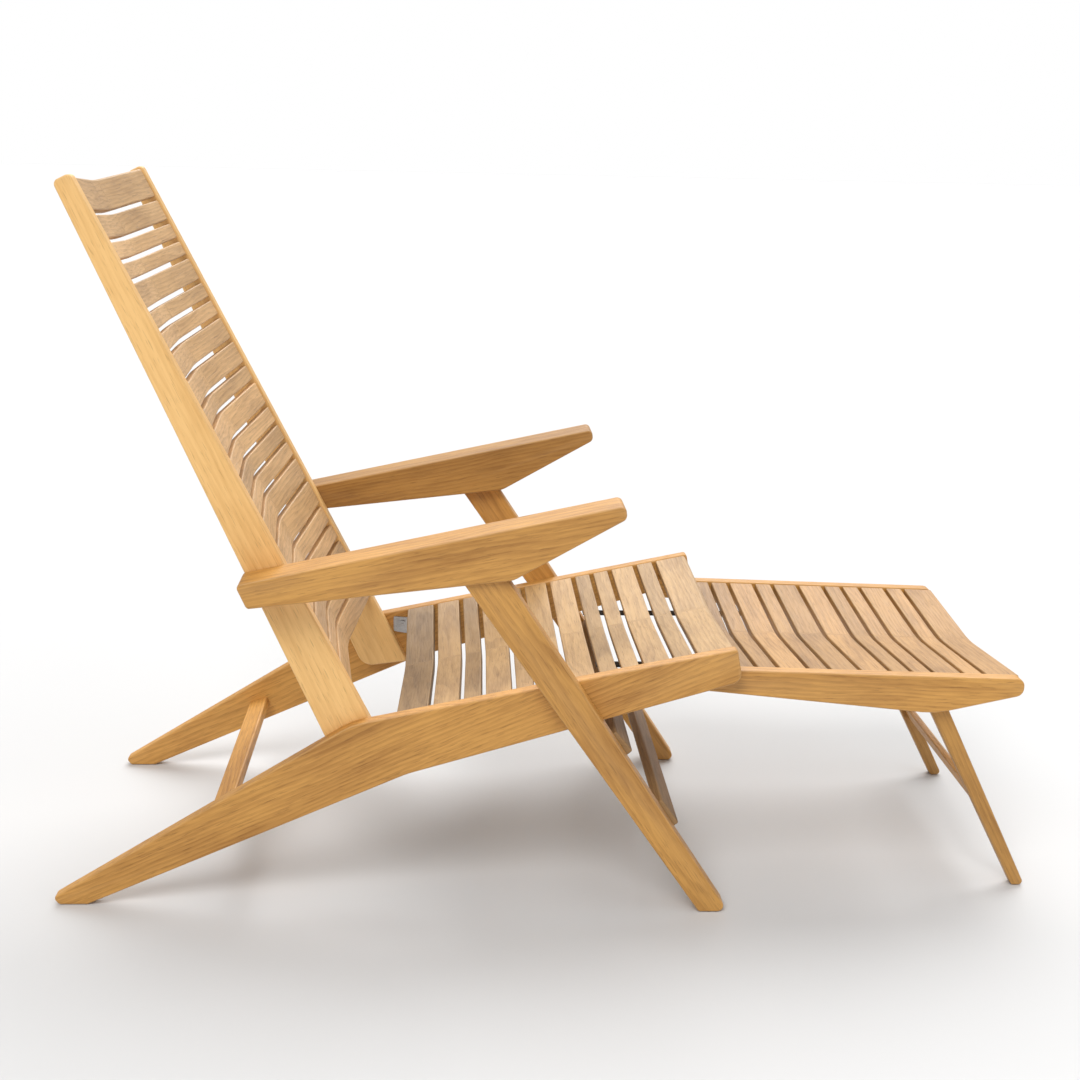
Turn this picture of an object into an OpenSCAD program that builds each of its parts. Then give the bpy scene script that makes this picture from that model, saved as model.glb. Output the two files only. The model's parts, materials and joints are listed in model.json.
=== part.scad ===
// Reclined slatted garden lounge chair with board armrests and a pull-out footrest.
// +X runs from the back to the feet of the sitter, +Y is the sitter's left, +Z is up.
// The origin is on the ground, below the middle of the chair as it stands opened out.
// Side outlines are drawn as [x, z] points, with x counted from the heel of the rear foot.

/* [Overall] */
// Width over the outer faces of the armrests
overall_width = 618; // [560:2:660]
// How far each armrest stands out past the front leg below it
arm_overhang = 9; // [4:1:12]
// Thickness of the front legs
leg_thickness = 32; // [28:1:34]
// Thickness of the bent seat rails
rail_thickness = 21; // [19:1:24]
// Thickness of the back posts
post_thickness = 22; // [18:1:24]
// Height of the front end of the seat rails
seat_front_height = 397; // [394:1:399]
// Slope of the seat, in degrees
seat_slope = 11.9; // [11.6:0.1:12.2]

/* [Slats] */
// Thickness of every slat
slat_thickness = 14; // [11:1:15]
// Open gap between neighbouring slats of the seat
slat_gap = 7; // [5:1:8]
// Open gap between neighbouring slats of the footrest
footrest_gap = 6; // [5:1:7]
// Open gap between neighbouring slats of the back
back_gap = 7; // [5:1:8]
// Depth of the crease of a seat slat below its ends
seat_dish = 20; // [12:1:21]
// Depth of the crease of a back slat behind its ends
back_dish = 26; // [15:1:30]
// Depth of the crease of a footrest slat below its ends
footrest_dish = 20; // [12:1:21]
// Length of the stub tenon on each slat end
tenon_length = 6; // [4:1:8]

/* [Footrest] */
// Side gap between a footrest rail and the seat rail it slides past
slide_gap = 4; // [3:0.5:6]
// Thickness of the footrest rails
footrest_rail_thickness = 22; // [20:1:24]
// Thickness of the footrest legs
footrest_leg_thickness = 20; // [16:1:22]
// Depth of the guide groove in each seat rail
groove_depth = 5.5; // [4:0.5:7]
// Travel of the guide pins along their grooves
slide_travel = 420; // [300:5:425]

/* [Hardware] */
// Diameter of the guide pins and of the footrest leg pivots
pin_d = 8; // [6:1:9]
// Diameter of the structural bolts
bolt_d = 8; // [6:1:8]
// Radial running clearance of the turning pins
running_gap = 0.05; // [0.02:0.01:0.1]

/* [Hidden] */
$fn = 48;
fit_gap = 0.2;
x_mid = 718.46;

// Side planes, counted outward from the centre plane
arm_out = overall_width / 2;
leg_out = arm_out - arm_overhang;
rail_out = leg_out - leg_thickness;
rail_in = rail_out - rail_thickness;
post_in = rail_in - post_thickness;
foot_rail_out = rail_in - slide_gap;
foot_rail_in = foot_rail_out - footrest_rail_thickness;
foot_leg_out = foot_rail_in - 0.4;
foot_leg_in = foot_leg_out - footrest_leg_thickness;

// Seat line: the top edge of the seat rails
seat_front_x = 975;
function seat_z(x) = seat_front_height - (seat_front_x - x) * tan(seat_slope);

// Guide groove, parallel to the seat line
groove_drop = 43;
pin_x = 940;
pin_z = seat_z(pin_x) - groove_drop;

// Back line: the front edge of the back posts, from the top end down
back_top = [63.3, 1042];
back_angle = -63.16;

// Footrest line: the top edge of the footrest rails at rest
footrest_angle = -1.64;
footrest_start = [971.5, pin_z + 10.09];
leg_pivot = [1278.7, pin_z - 33];
foot_leg_lean = 27.3;

// Slat widths, from the rear of the seat, the top of the back and the rear of the footrest
wide = 38;
narrow = 25.5;
seat_widths = [46.5, wide, narrow, wide, narrow, wide, wide, narrow, narrow, wide, 27, 53.5];
back_wide = 36.8;
back_narrow = 24.6;
back_widths = [48, 33.8, back_narrow, 23.1, back_wide, back_narrow, back_narrow, back_wide,
    back_wide, back_narrow, 38.8, 26.6, 25.6, back_narrow, back_wide, 42, 28.5,
    back_narrow, back_wide, back_narrow, back_wide];
footrest_wide = 39;
footrest_narrow = 26.5;
footrest_widths = [footrest_wide, footrest_narrow, footrest_wide, footrest_narrow,
    footrest_wide, footrest_wide, footrest_narrow, footrest_narrow, footrest_wide,
    footrest_narrow, 48];

function sum_to(v, n) = n <= 0 ? 0 : v[n - 1] + sum_to(v, n - 1);
function slat_start(widths, i, gap) = sum_to(widths, i) + i * gap;

// ---------- helpers ----------

// Points of the corner b between a and c, rounded to radius r
function corner_arc(a, b, c, r) =
    let (
        u = (a - b) / norm(a - b),
        v = (c - b) / norm(c - b),
        half = acos(max(-1, min(1, u * v))) / 2,
        reach = min(r / tan(half), 0.49 * norm(a - b), 0.49 * norm(c - b)),
        radius = reach * tan(half),
        middle = b + (u + v) / norm(u + v) * radius / sin(half),
        start = b + u * reach,
        turn = 180 - 2 * half,
        way = (u[0] * v[1] - u[1] * v[0]) > 0 ? -1 : 1,
        steps = max(1, ceil(turn / 12))
    )
    r <= 0 ? [b] : [
        for (k = [0:steps])
            let (t = way * turn * k / steps, d = start - middle)
            middle + [d[0] * cos(t) - d[1] * sin(t), d[0] * sin(t) + d[1] * cos(t)]
    ];

// Outline with rounded corners, from points [x, y, radius]
function rounded(p) = [
    for (i = [0:len(p) - 1])
        let (
            a = p[(i + len(p) - 1) % len(p)],
            b = p[i],
            c = p[(i + 1) % len(p)]
        )
        each corner_arc([a[0], a[1]], [b[0], b[1]], [c[0], c[1]], b[2])
];

// Board with a side outline, between two side planes
module board(outline, y_low, y_high) {
    translate([-x_mid, y_high, 0])
        rotate([90, 0, 0])
            linear_extrude(y_high - y_low)
                polygon(rounded(outline));
}

// The same child on the left, or mirrored to the right
module on_side(side) {
    if (side > 0) children();
    else mirror([0, 1, 0]) children();
}

// Round bar along Y at a side point
module cross_bar(point, y_low, y_high, d) {
    translate([point[0] - x_mid, y_high, point[1]])
        rotate([90, 0, 0])
            cylinder(h = y_high - y_low, d = d);
}

// Block along Y at a side point, turned by an angle in the side plane
module cross_block(point, size_x, size_z, angle, y_low, y_high) {
    translate([point[0] - x_mid, (y_low + y_high) / 2, point[1]])
        rotate([0, -angle, 0])
            cube([size_x, y_high - y_low, size_z], center = true);
}

// Frame of a slatted panel: X runs along the panel, Z out of its face
module panel_frame(start, angle) {
    translate([start[0] - x_mid, 0, start[1]])
        rotate([0, -angle, 0])
            children();
}

// One creased slat: two flat halves that meet in a rounded valley at the middle
module slat(start, width, half_span, dish, recess) {
    bend = 90;
    translate([start, 0, -recess])
        rotate([90, 0, 90])
            linear_extrude(width)
                polygon(rounded([
                    [-half_span, 0, 0], [0, -dish, bend], [half_span, 0, 0],
                    [half_span, -slat_thickness, 0], [0, -dish - slat_thickness, bend],
                    [-half_span, -slat_thickness, 0]
                ]));
}

// Stub tenon on one slat end; a positive gap makes the mortise that takes it
module slat_tenon(start, width, half_span, recess, gap) {
    translate([start + 5 - gap, half_span - 2, -recess - slat_thickness / 2 - 4 - gap])
        cube([width - 10 + 2 * gap, tenon_length + 2 + gap, 7 + 2 * gap]);
}

module whole_slat(widths, i, slot, half_span, dish, recess) {
    start = slat_start(widths, i, slot);
    slat(start, widths[i], half_span, dish, recess);
    for (side = [1, -1])
        on_side(side) slat_tenon(start, widths[i], half_span, recess, 0);
}

module mortises(widths, slot, half_span, recess) {
    for (i = [0:len(widths) - 1])
        slat_tenon(slat_start(widths, i, slot), widths[i], half_span, recess, fit_gap);
}

// ---------- places of the three slatted panels ----------

seat_recess = 1;
back_recess = 3;
footrest_recess = 1.5;
seat_start_x = 487;
back_first = 4;

module seat_panel() {
    panel_frame([seat_start_x, seat_z(seat_start_x)], seat_slope) children();
}

module back_panel() {
    panel_frame(back_top, back_angle) translate([back_first, 0, 0]) children();
}

module footrest_panel() {
    panel_frame(footrest_start, footrest_angle) children();
}

// ---------- fixed frame ----------

bracket_bore = [[479, 270], [495, 262]];
rail_post_points = [[418, 252], [450, 222]];
arm_post_points = [[296, 485], [318, 491]];
arm_low_rear = [285, 465.8];
arm_low_front = [650, 508.9];
leg_rail_points = [[722, 320], [745, 289]];
head_d = 13;
head_h = 7;
upper_corner = [804, 272];
upper_tilt = 40;
lower_corner = [875, 165];
lower_tilt = 36;
upper_board = [15, 40];
lower_board = [15, 46];
rear_board = [33, 14];
rear_board_point = [226, 118];
rear_board_slope = 19.5;

// Middle of a front stretcher, from its upper front corner, its size and its tilt from upright
function stretcher_middle(corner, size, tilt) =
    corner + [
        sin(tilt) * size[1] / 2 - cos(tilt) * size[0] / 2,
        -cos(tilt) * size[1] / 2 - sin(tilt) * size[0] / 2
    ];

// Stub tenons near the rear face of a front stretcher, where the legs cover them
module front_stretcher_tenon(corner, size, tilt, gap) {
    m = stretcher_middle(corner, size, tilt) - [cos(tilt), sin(tilt)] * 4.7;
    for (side = [1, -1])
        on_side(side)
            cross_block(m, 4.6 + 2 * gap, 20 + 2 * gap, tilt, rail_out - 2, rail_out + 14 + gap);
}

module front_stretcher(corner, size, tilt) {
    cross_block(stretcher_middle(corner, size, tilt), size[0], size[1], tilt, -rail_out, rail_out);
    front_stretcher_tenon(corner, size, tilt, 0);
}

module rear_tenon(gap) {
    for (side = [1, -1])
        on_side(side)
            cross_block(rear_board_point, 24 + 2 * gap, 7 + 2 * gap, rear_board_slope,
                rail_in - 2, rail_in + 10 + gap);
}

module seat_rail(side) {
    on_side(side) color("#c8924f") difference() {
        board([
            [-13, 10.5, 7], [-4, 0, 7], [37, 0, 3], [503, 205, 90],
            [985, seat_front_height - 49, 16], [seat_front_x, seat_front_height, 5],
            [423, seat_z(423), 90]
        ], rail_in, rail_out);
        seat_panel() mortises(seat_widths, slat_gap, rail_in, seat_recess);
        translate([0, 0, -groove_drop])
            panel_frame([pin_x, seat_z(pin_x)], seat_slope)
                translate([-slide_travel, rail_in - 1, 0]) {
                    translate([0, 0, -pin_d / 2 - fit_gap])
                        cube([slide_travel, groove_depth + 1, pin_d + 2 * fit_gap]);
                    for (x = [0, slide_travel])
                        translate([x, 0, 0])
                            rotate([-90, 0, 0])
                                cylinder(h = groove_depth + 1, r = pin_d / 2 + fit_gap);
                }
        rear_tenon(fit_gap);
        for (p = rail_post_points)
            cross_bar(p, rail_in - 1, rail_in + 15, bolt_d);
        for (p = leg_rail_points) {
            cross_bar(p, rail_in - 1, rail_out + 1, bolt_d);
            cross_bar(p, rail_in - 1, rail_in + head_h, head_d + 0.4);
        }
        for (p = bracket_bore)
            cross_bar(p, rail_in - 1, rail_in + 14, 4);
    }
}

// Height of the flat underside of an armrest
function arm_under(x) =
    arm_low_rear[1] + (x - arm_low_rear[0]) * (arm_low_front[1] - arm_low_rear[1])
        / (arm_low_front[0] - arm_low_rear[0]);

module leg_top_tenon(gap) {
    translate([598 - gap - x_mid, rail_out + 9 - gap, 500])
        cube([26 + 2 * gap, 14 + 2 * gap, 30 + gap]);
}

module front_leg(side) {
    on_side(side) color("#c4894a") difference() {
        union() {
            board([
                [582.2, arm_under(582.2), 0], [642.8, arm_under(642.8), 0], [976.8, 0, 9],
                [932.4, 0, 7]
            ], rail_out, leg_out);
            leg_top_tenon(0);
        }
        for (p = leg_rail_points)
            cross_bar(p, rail_out - 1, rail_out + 20, bolt_d);
        front_stretcher_tenon(upper_corner, upper_board, upper_tilt, fit_gap);
        front_stretcher_tenon(lower_corner, lower_board, lower_tilt, fit_gap);
    }
}

module armrest(side) {
    on_side(side) color("#c68d4c") difference() {
        board([
            [269.5, 500.2, 7], [arm_low_rear[0], arm_low_rear[1], 6],
            [arm_low_front[0], arm_low_front[1], 30], [804.5, 597.5, 9], [802.5, 616.7, 8]
        ], rail_in, arm_out);
        leg_top_tenon(fit_gap);
        for (p = arm_post_points)
            cross_bar(p, rail_in - 1, rail_in + 30, bolt_d);
    }
}

module back_post(side) {
    on_side(side) color("#e6b468") difference() {
        board([
            [39.8, 1030.3, 8], [410, 195, 26], [487, 205, 4], [back_top[0], back_top[1], 7]
        ], post_in, rail_in);
        back_panel() mortises(back_widths, back_gap, post_in, back_recess);
        for (p = concat(rail_post_points, arm_post_points)) {
            cross_bar(p, post_in - 1, rail_in + 1, bolt_d);
            cross_bar(p, post_in - 1, post_in + head_h, head_d + 0.4);
        }
    }
}

module rear_stretcher() {
    color("#9a7c58") {
        cross_block(rear_board_point, rear_board[0], rear_board[1], rear_board_slope,
            -rail_in, rail_in);
        rear_tenon(0);
    }
}

module upper_front_stretcher() {
    color("#9a7c58") front_stretcher(upper_corner, upper_board, upper_tilt);
}

module lower_front_stretcher() {
    color("#9a7c58") front_stretcher(lower_corner, lower_board, lower_tilt);
}

module seat_slat(n) {
    color("#c09a6a") seat_panel()
        whole_slat(seat_widths, n - 1, slat_gap, rail_in, seat_dish, seat_recess);
}

// Back slats by likeness: index 0 is the top slat, the others are wide or narrow
module back_slats(low, high) {
    color("#c4a172") back_panel()
        for (i = [1:len(back_widths) - 1])
            if (back_widths[i] > low && back_widths[i] <= high)
                whole_slat(back_widths, i, back_gap, post_in, back_dish, back_recess);
}

module back_top_slat() {
    color("#c4a172") back_panel()
        whole_slat(back_widths, 0, back_gap, post_in, back_dish, back_recess);
}

module back_slats_wide() {
    back_slats(30, 100);
}

module back_slats_narrow() {
    back_slats(0, 30);
}

// ---------- fixed hardware ----------

// Socket-head bolt along Y whose head sits in a counterbore that starts at face_y
module socket_bolt(point, face_y, tip_y) {
    difference() {
        union() {
            cross_bar(point, face_y + 0.5, tip_y, bolt_d);
            cross_bar(point, face_y + 0.5, face_y + head_h, head_d);
        }
        translate([point[0] - x_mid, face_y - 1, point[1]])
            rotate([-90, 0, 0])
                cylinder(h = 5, d = 6.9, $fn = 6);
    }
}

module rail_post_bolts() {
    color("#b9bcc0")
        for (side = [1, -1], p = rail_post_points)
            on_side(side) socket_bolt(p, post_in, rail_in + 14.5);
}

module arm_post_bolts() {
    color("#b9bcc0")
        for (side = [1, -1], p = arm_post_points)
            on_side(side) socket_bolt(p, post_in, rail_in + 29.5);
}

module leg_rail_bolts() {
    color("#b9bcc0")
        for (side = [1, -1], p = leg_rail_points)
            on_side(side) socket_bolt(p, rail_in, rail_out + 19.5);
}

// Steel angle: a plate on the inner face of the rail and a lip below the first slat
bracket_t = 2.5;
bracket_lip = 22;

module seat_bracket() {
    lip_z = seat_z(496) - seat_recess - slat_thickness - seat_dish * 0.1 - 3;
    difference() {
        board([
            [463, 254, 3], [503, 248, 3], [505, lip_z + 2, 1], [463, 281, 3]
        ], rail_in - bracket_t, rail_in);
        for (p = bracket_bore)
            cross_bar(p, rail_in - 10, rail_in + 1, 4);
    }
    cross_block([496, lip_z], 15, bracket_t, seat_slope, rail_in - bracket_lip, rail_in - 1);
}

module seat_brackets() {
    color("#b5b6b8")
        for (side = [1, -1])
            on_side(side) seat_bracket();
}

module bracket_screws() {
    color("#b5b6b8")
        for (side = [1, -1], p = bracket_bore)
            on_side(side) difference() {
                union() {
                    cross_bar(p, rail_in - 5, rail_in + 13.5, 4);
                    cross_bar(p, rail_in - 6, rail_in - bracket_t, 8);
                }
                translate([p[0] - x_mid, rail_in - 7, p[1]])
                    rotate([-90, 0, 0])
                        cylinder(h = 3, d = 4.4, $fn = 6);
            }
}

// ---------- footrest ----------

runner_y = 130;
runner_z = pin_z - 21;
runner_t = 4;
runner_rear = 785;
runner_front = 1085;
runner_screw_x = [1024, 1062];

module guide_pins() {
    color("#9a9da1")
        for (side = [1, -1])
            on_side(side) {
                cross_bar([pin_x, pin_z], foot_rail_in + 1, rail_in + groove_depth - 0.3, pin_d);
                cross_bar([pin_x, pin_z], foot_rail_out + 0.4, rail_in - 0.4, pin_d + 6);
            }
}

module footrest_rail(side) {
    top = pin_z + 11.5;
    on_side(side) color("#cc9650") difference() {
        board([
            [922, top, 8], [922, top - 32, 12], [1279, pin_z - 57, 120],
            [1409, pin_z - 28, 13], [1409, top - 14, 12]
        ], foot_rail_in, foot_rail_out);
        footrest_panel() mortises(footrest_widths, footrest_gap, foot_rail_in, footrest_recess);
        cross_bar([pin_x, pin_z], foot_rail_in - 1, foot_rail_out + 1, pin_d + 2 * running_gap);
        cross_bar(leg_pivot, foot_rail_in - 1, foot_rail_in + 18, pin_d);
    }
}

module footrest_slat(n) {
    color("#c69f6e") footrest_panel()
        whole_slat(footrest_widths, n - 1, footrest_gap, foot_rail_in, footrest_dish,
            footrest_recess);
}

module footrest_runners() {
    color("#4a4440")
        for (side = [1, -1])
            on_side(side) difference() {
                board([
                    [runner_rear, runner_z + runner_t / 2, 1.5],
                    [runner_rear, runner_z - runner_t / 2, 1.5],
                    [runner_front, runner_z - runner_t / 2, 1.5],
                    [runner_front, runner_z + runner_t / 2, 1.5]
                ], runner_y - 8, runner_y + 8);
                for (x = runner_screw_x)
                    translate([x - x_mid, runner_y, runner_z - 10])
                        cylinder(h = 20, d = 5);
            }
}

// Upright screws with spacer collars that hold the runners below the slats
module runner_screws() {
    color("#8f9296")
        for (side = [1, -1], x = runner_screw_x)
            on_side(side) {
                under = footrest_start[1] - (x - footrest_start[0]) * tan(-footrest_angle)
                    - footrest_recess - slat_thickness
                    - footrest_dish * (1 - (runner_y - 5) / foot_rail_in);
                translate([x - x_mid, runner_y, runner_z - 5])
                    cylinder(h = under - runner_z + 5, d = 5);
                translate([x - x_mid, runner_y, runner_z + runner_t / 2])
                    cylinder(h = under - runner_z - runner_t / 2, d = 10);
                translate([x - x_mid, runner_y, runner_z - runner_t / 2 - 3])
                    cylinder(h = 3, d = 10);
            }
}

module leg_pivot_bolts() {
    color("#b9bcc0")
        for (side = [1, -1])
            on_side(side) {
                cross_bar(leg_pivot, foot_leg_in - 1, foot_rail_in + 17.5, pin_d);
                cross_bar(leg_pivot, foot_leg_in - 4, foot_leg_in - 0.4, pin_d + 6);
            }
}

// ---------- folding footrest legs ----------

foot_stretcher = [11, 32];
foot_stretcher_reach = 214.2;
leg_down = [sin(foot_leg_lean), -cos(foot_leg_lean)];
leg_side = [cos(foot_leg_lean), sin(foot_leg_lean)];
foot_stretcher_middle = leg_pivot + leg_down * foot_stretcher_reach + leg_side * 3;
leg_top_r = 13;
leg_foot_r = 9;

module foot_stretcher_tenon(gap) {
    for (side = [1, -1])
        on_side(side)
            cross_block(foot_stretcher_middle, 6 + 2 * gap, 14 + 2 * gap, foot_leg_lean,
                foot_leg_in - 2, foot_leg_in + 10 + gap);
}

module footrest_leg(side) {
    ground_x = leg_pivot[0] + leg_pivot[1] * tan(foot_leg_lean);
    half_foot = leg_foot_r / cos(foot_leg_lean);
    on_side(side) color("#c4894a") difference() {
        union() {
            board([
                [leg_pivot[0] - leg_side[0] * leg_top_r, leg_pivot[1] - leg_side[1] * leg_top_r, 0],
                [ground_x - half_foot, 0, 5],
                [ground_x + half_foot, 0, 6],
                [leg_pivot[0] + leg_side[0] * leg_top_r, leg_pivot[1] + leg_side[1] * leg_top_r, 0]
            ], foot_leg_in, foot_leg_out);
            cross_bar(leg_pivot, foot_leg_in, foot_leg_out, 2 * leg_top_r);
        }
        cross_bar(leg_pivot, foot_leg_in - 1, foot_leg_out + 1, pin_d + 2 * running_gap);
        foot_stretcher_tenon(fit_gap);
    }
}

module footrest_leg_stretcher() {
    color("#b58a55") {
        cross_block(foot_stretcher_middle, foot_stretcher[0], foot_stretcher[1], foot_leg_lean,
            -foot_leg_in, foot_leg_in);
        foot_stretcher_tenon(0);
    }
}

// ---------- nodes ----------

seat_rail(1);  // left_seat_rail
seat_rail(-1);  // right_seat_rail
front_leg(1);  // left_front_leg
front_leg(-1);  // right_front_leg
armrest(1);  // left_armrest
armrest(-1);  // right_armrest
back_post(1);  // left_back_post
back_post(-1);  // right_back_post
rear_stretcher();
upper_front_stretcher();
lower_front_stretcher();
seat_slat(1);  // seat_slat_01
seat_slat(2);  // seat_slat_02
seat_slat(3);  // seat_slat_03
seat_slat(4);  // seat_slat_04
seat_slat(5);  // seat_slat_05
seat_slat(6);  // seat_slat_06
seat_slat(7);  // seat_slat_07
seat_slat(8);  // seat_slat_08
seat_slat(9);  // seat_slat_09
seat_slat(10);  // seat_slat_10
seat_slat(11);  // seat_slat_11
seat_slat(12);  // seat_slat_12
back_top_slat();
back_slats_wide();
back_slats_narrow();
rail_post_bolts();
arm_post_bolts();
leg_rail_bolts();
seat_brackets();
bracket_screws();
guide_pins();
footrest_rail(1);  // left_footrest_rail
footrest_rail(-1);  // right_footrest_rail
footrest_slat(1);  // footrest_slat_01
footrest_slat(2);  // footrest_slat_02
footrest_slat(3);  // footrest_slat_03
footrest_slat(4);  // footrest_slat_04
footrest_slat(5);  // footrest_slat_05
footrest_slat(6);  // footrest_slat_06
footrest_slat(7);  // footrest_slat_07
footrest_slat(8);  // footrest_slat_08
footrest_slat(9);  // footrest_slat_09
footrest_slat(10);  // footrest_slat_10
footrest_slat(11);  // footrest_slat_11
footrest_runners();
runner_screws();
leg_pivot_bolts();
footrest_leg(1);  // left_footrest_leg
footrest_leg(-1);  // right_footrest_leg
footrest_leg_stretcher();
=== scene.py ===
"""Looks of a reclined slatted garden lounge chair with a pull-out footrest.

The frame gives every place and size. Each wooden board is made again as a surface with eased
edges, and carries three attributes: grain (metres along, across and into the board), tone (how
light the board is) and an edge weight (how near a point is to an edge or an end), which lays on
an edge tint that is partly wear and partly a painted highlight.
"""
import json
import math

import bpy
import numpy as np
from mathutils import Matrix, Vector


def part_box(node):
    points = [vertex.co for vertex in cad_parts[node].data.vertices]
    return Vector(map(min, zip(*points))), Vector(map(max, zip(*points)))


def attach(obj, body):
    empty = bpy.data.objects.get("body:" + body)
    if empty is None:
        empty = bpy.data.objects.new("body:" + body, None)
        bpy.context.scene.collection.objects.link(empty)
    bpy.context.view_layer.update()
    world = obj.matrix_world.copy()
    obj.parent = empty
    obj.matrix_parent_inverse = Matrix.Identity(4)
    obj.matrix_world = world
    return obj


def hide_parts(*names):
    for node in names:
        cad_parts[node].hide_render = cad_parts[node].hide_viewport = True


bl_info = {
    "name": "Slatted Lounge Chair",
    "version": (1, 0, 0),
    "blender": (4, 5, 0),
    "location": "View3D > Sidebar > Lounge Chair",
    "description": "Builds the boards, slats, hardware and stage of a slatted lounge chair",
    "category": "Object",
}

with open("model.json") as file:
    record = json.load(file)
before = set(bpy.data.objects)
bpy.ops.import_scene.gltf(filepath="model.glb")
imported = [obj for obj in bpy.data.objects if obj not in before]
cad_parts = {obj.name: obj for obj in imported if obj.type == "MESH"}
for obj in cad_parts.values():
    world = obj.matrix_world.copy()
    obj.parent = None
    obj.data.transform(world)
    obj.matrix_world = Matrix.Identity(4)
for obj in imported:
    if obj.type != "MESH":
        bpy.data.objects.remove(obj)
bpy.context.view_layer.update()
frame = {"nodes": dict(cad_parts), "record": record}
NODES = frame["nodes"]
BODY_OF = {n: b for b, names in frame["record"]["behaviour"]["bodies"].items() for n in names}
SLOT_OF = {s["node"]: s["material_slot"] for s in frame["record"]["subparts"]}
SIDES = ("left", "right")

# Slopes of the parts in the side plane, in degrees
SEAT_SLOPE = 11.9
BACK_SLOPE = -63.16
FOOTREST_SLOPE = -1.64
ARM_SLOPE = 12.2
POST_SLOPE = 115.4
LEG_SLOPE = -56.0
FOOT_LEG_SLOPE = -62.7
REAR_RAIL_SLOPE = 24.0
UPPER_STRETCHER_SLOPE = 40.0
LOWER_STRETCHER_SLOPE = 36.0
REAR_STRETCHER_SLOPE = 19.5
FOOT_STRETCHER_SLOPE = 27.3

# Reading the frame: points are merged on a grid of this many steps to the metre, a face is flat
# within FLAT, and an outline edge shorter than SHORT_EDGE is dropped, both in metres
MERGE_GRID = 1e5
FLAT = 2e-5
SHORT_EDGE = 2e-4

# Fineness of the meshes: steps round an eased edge, as shares of a quarter turn, the longest
# edge of a board's outline in metres, and the points along a slat's halves and its valley
EDGE_STEPS = 4
EDGE_SHARES = np.arange(EDGE_STEPS + 1) / EDGE_STEPS
BOARD_STEP = 0.03
HALF_POINTS = 12
VALLEY_POINTS = 13
STRAIGHT_POINTS = 9

# A slat's halves begin at this share of the half span, and its valley's points cover this many
# times its reach, which counts as at least LEAST_REACH metres
HALF_START = 0.12
VALLEY_COVER = 1.6
LEAST_REACH = 0.004

# Least cosine of half the turn at an outline's corner that an eased edge follows in full
SHARPEST = 0.35

# Where in the log a piece is cut, in metres along, across and into the grain: how far chance
# moves a board or a bar, and how far the left half of a slat is from the right half
BOARD_SHIFT = (9, 0.14, 0.2)
BAR_SHIFT = (9, 0.12, 0.16)
HALF_SHIFT = (3.7, 0.031, 0.017)

# How strongly the ends of boards and bars take the edge tint of wear and painted highlight, next to
# 1 in the middle of a rounded edge
BOARD_END_WEAR = 0.8
BAR_END_WEAR = 1.6

# How much each part of the grain darkens the wood, and how far edges take their own tint, which is
# partly wear and partly a painted highlight
STREAKS = 0.24
CLOUDS = 1.3
VEINS = 0.20
PORES = 0.38
RUB_AND_HIGHLIGHT = 0.38

# Relief of the wood: shares of fibres, pores and rings, its strength and its depth in metres
FIBRE_RELIEF = 0.6
PORE_RELIEF = 0.7
RING_RELIEF = 0.25
WOOD_BUMP = 0.55
WOOD_RELIEF = 0.00035
STEEL_BUMP = 0.3
STEEL_RELIEF = 0.0001

# Floor: half its side and how far it lies under the feet, in metres
FLOOR_HALF = 40.0
FLOOR_DROP = 0.0006

# Camera: focal length in millimetres, place in metres, and yaw, pitch and roll in degrees
CAMERA_LENS = 51.26
CAMERA_PLACE = (-0.14889, -2.33601, 1.10460)
CAMERA_TURN = (-3.269, 14.806, 1.288)

# How light some pieces are, from dark below 0 to light above it; the others follow their chance.
# The dark value of left_armrest is painted shade on the far arm.
SHADE = {
    "seat_slat_01": -2.4, "seat_slat_02": -0.3, "seat_slat_03": -1.2, "seat_slat_04": 0.2,
    "seat_slat_05": 0.1, "seat_slat_06": 0.4, "seat_slat_07": 0.7, "seat_slat_08": -0.8,
    "seat_slat_09": 0.0, "seat_slat_10": 0.6, "seat_slat_11": -0.3, "seat_slat_12": 0.5,
    "back_top_slat": -0.6, "footrest_slat_01": -1.9, "footrest_slat_02": -0.9,
    "footrest_slat_03": 0.3, "footrest_slat_04": -0.4, "footrest_slat_05": -1.0,
    "footrest_slat_06": 0.3, "footrest_slat_07": -0.8, "footrest_slat_08": 0.2,
    "footrest_slat_09": -0.2, "footrest_slat_10": 0.4, "footrest_slat_11": -0.3,
    # left_armrest: painted shade on the far arm, not a darker board
    "left_armrest": -5.5, "left_footrest_leg": -4.0, "right_footrest_leg": -4.0,
}


# ---------- settings ----------

def colour(name, text, value):
    """A colour property with its default."""
    return bpy.props.FloatVectorProperty(
        name=name, description=text, subtype="COLOR", size=3, min=0, max=1, default=value)


def length(name, text, value):
    """A length property in metres with its default."""
    return bpy.props.FloatProperty(
        name=name, description=text, unit="LENGTH", min=0.0002, max=0.05, default=value)


class ChairSizes(bpy.types.PropertyGroup):
    """Sizes that a user would change."""
    board_ease: length("Board edge", "Rounding of the edges of rails, legs, posts and arms", 0.0028)
    slat_ease: length("Slat edge", "Rounding of the long edges of the slats", 0.0022)
    nose_ease: length("Nose edge", "Rounding of the front edge of the front seat slat", 0.0065)
    top_ease: length("Top edge", "Rounding of the upper edge of the top back slat", 0.004)
    stretcher_ease: length("Stretcher edge", "Rounding of the edges of the stretchers", 0.0030)
    slat_thickness: length("Slat thickness", "Thickness of every slat", 0.014)
    crease_radius: bpy.props.FloatProperty(
        name="Crease radius", description="Radius of the valley along the middle of the slats",
        unit="LENGTH", min=0.01, max=0.8, default=0.30)


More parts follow.
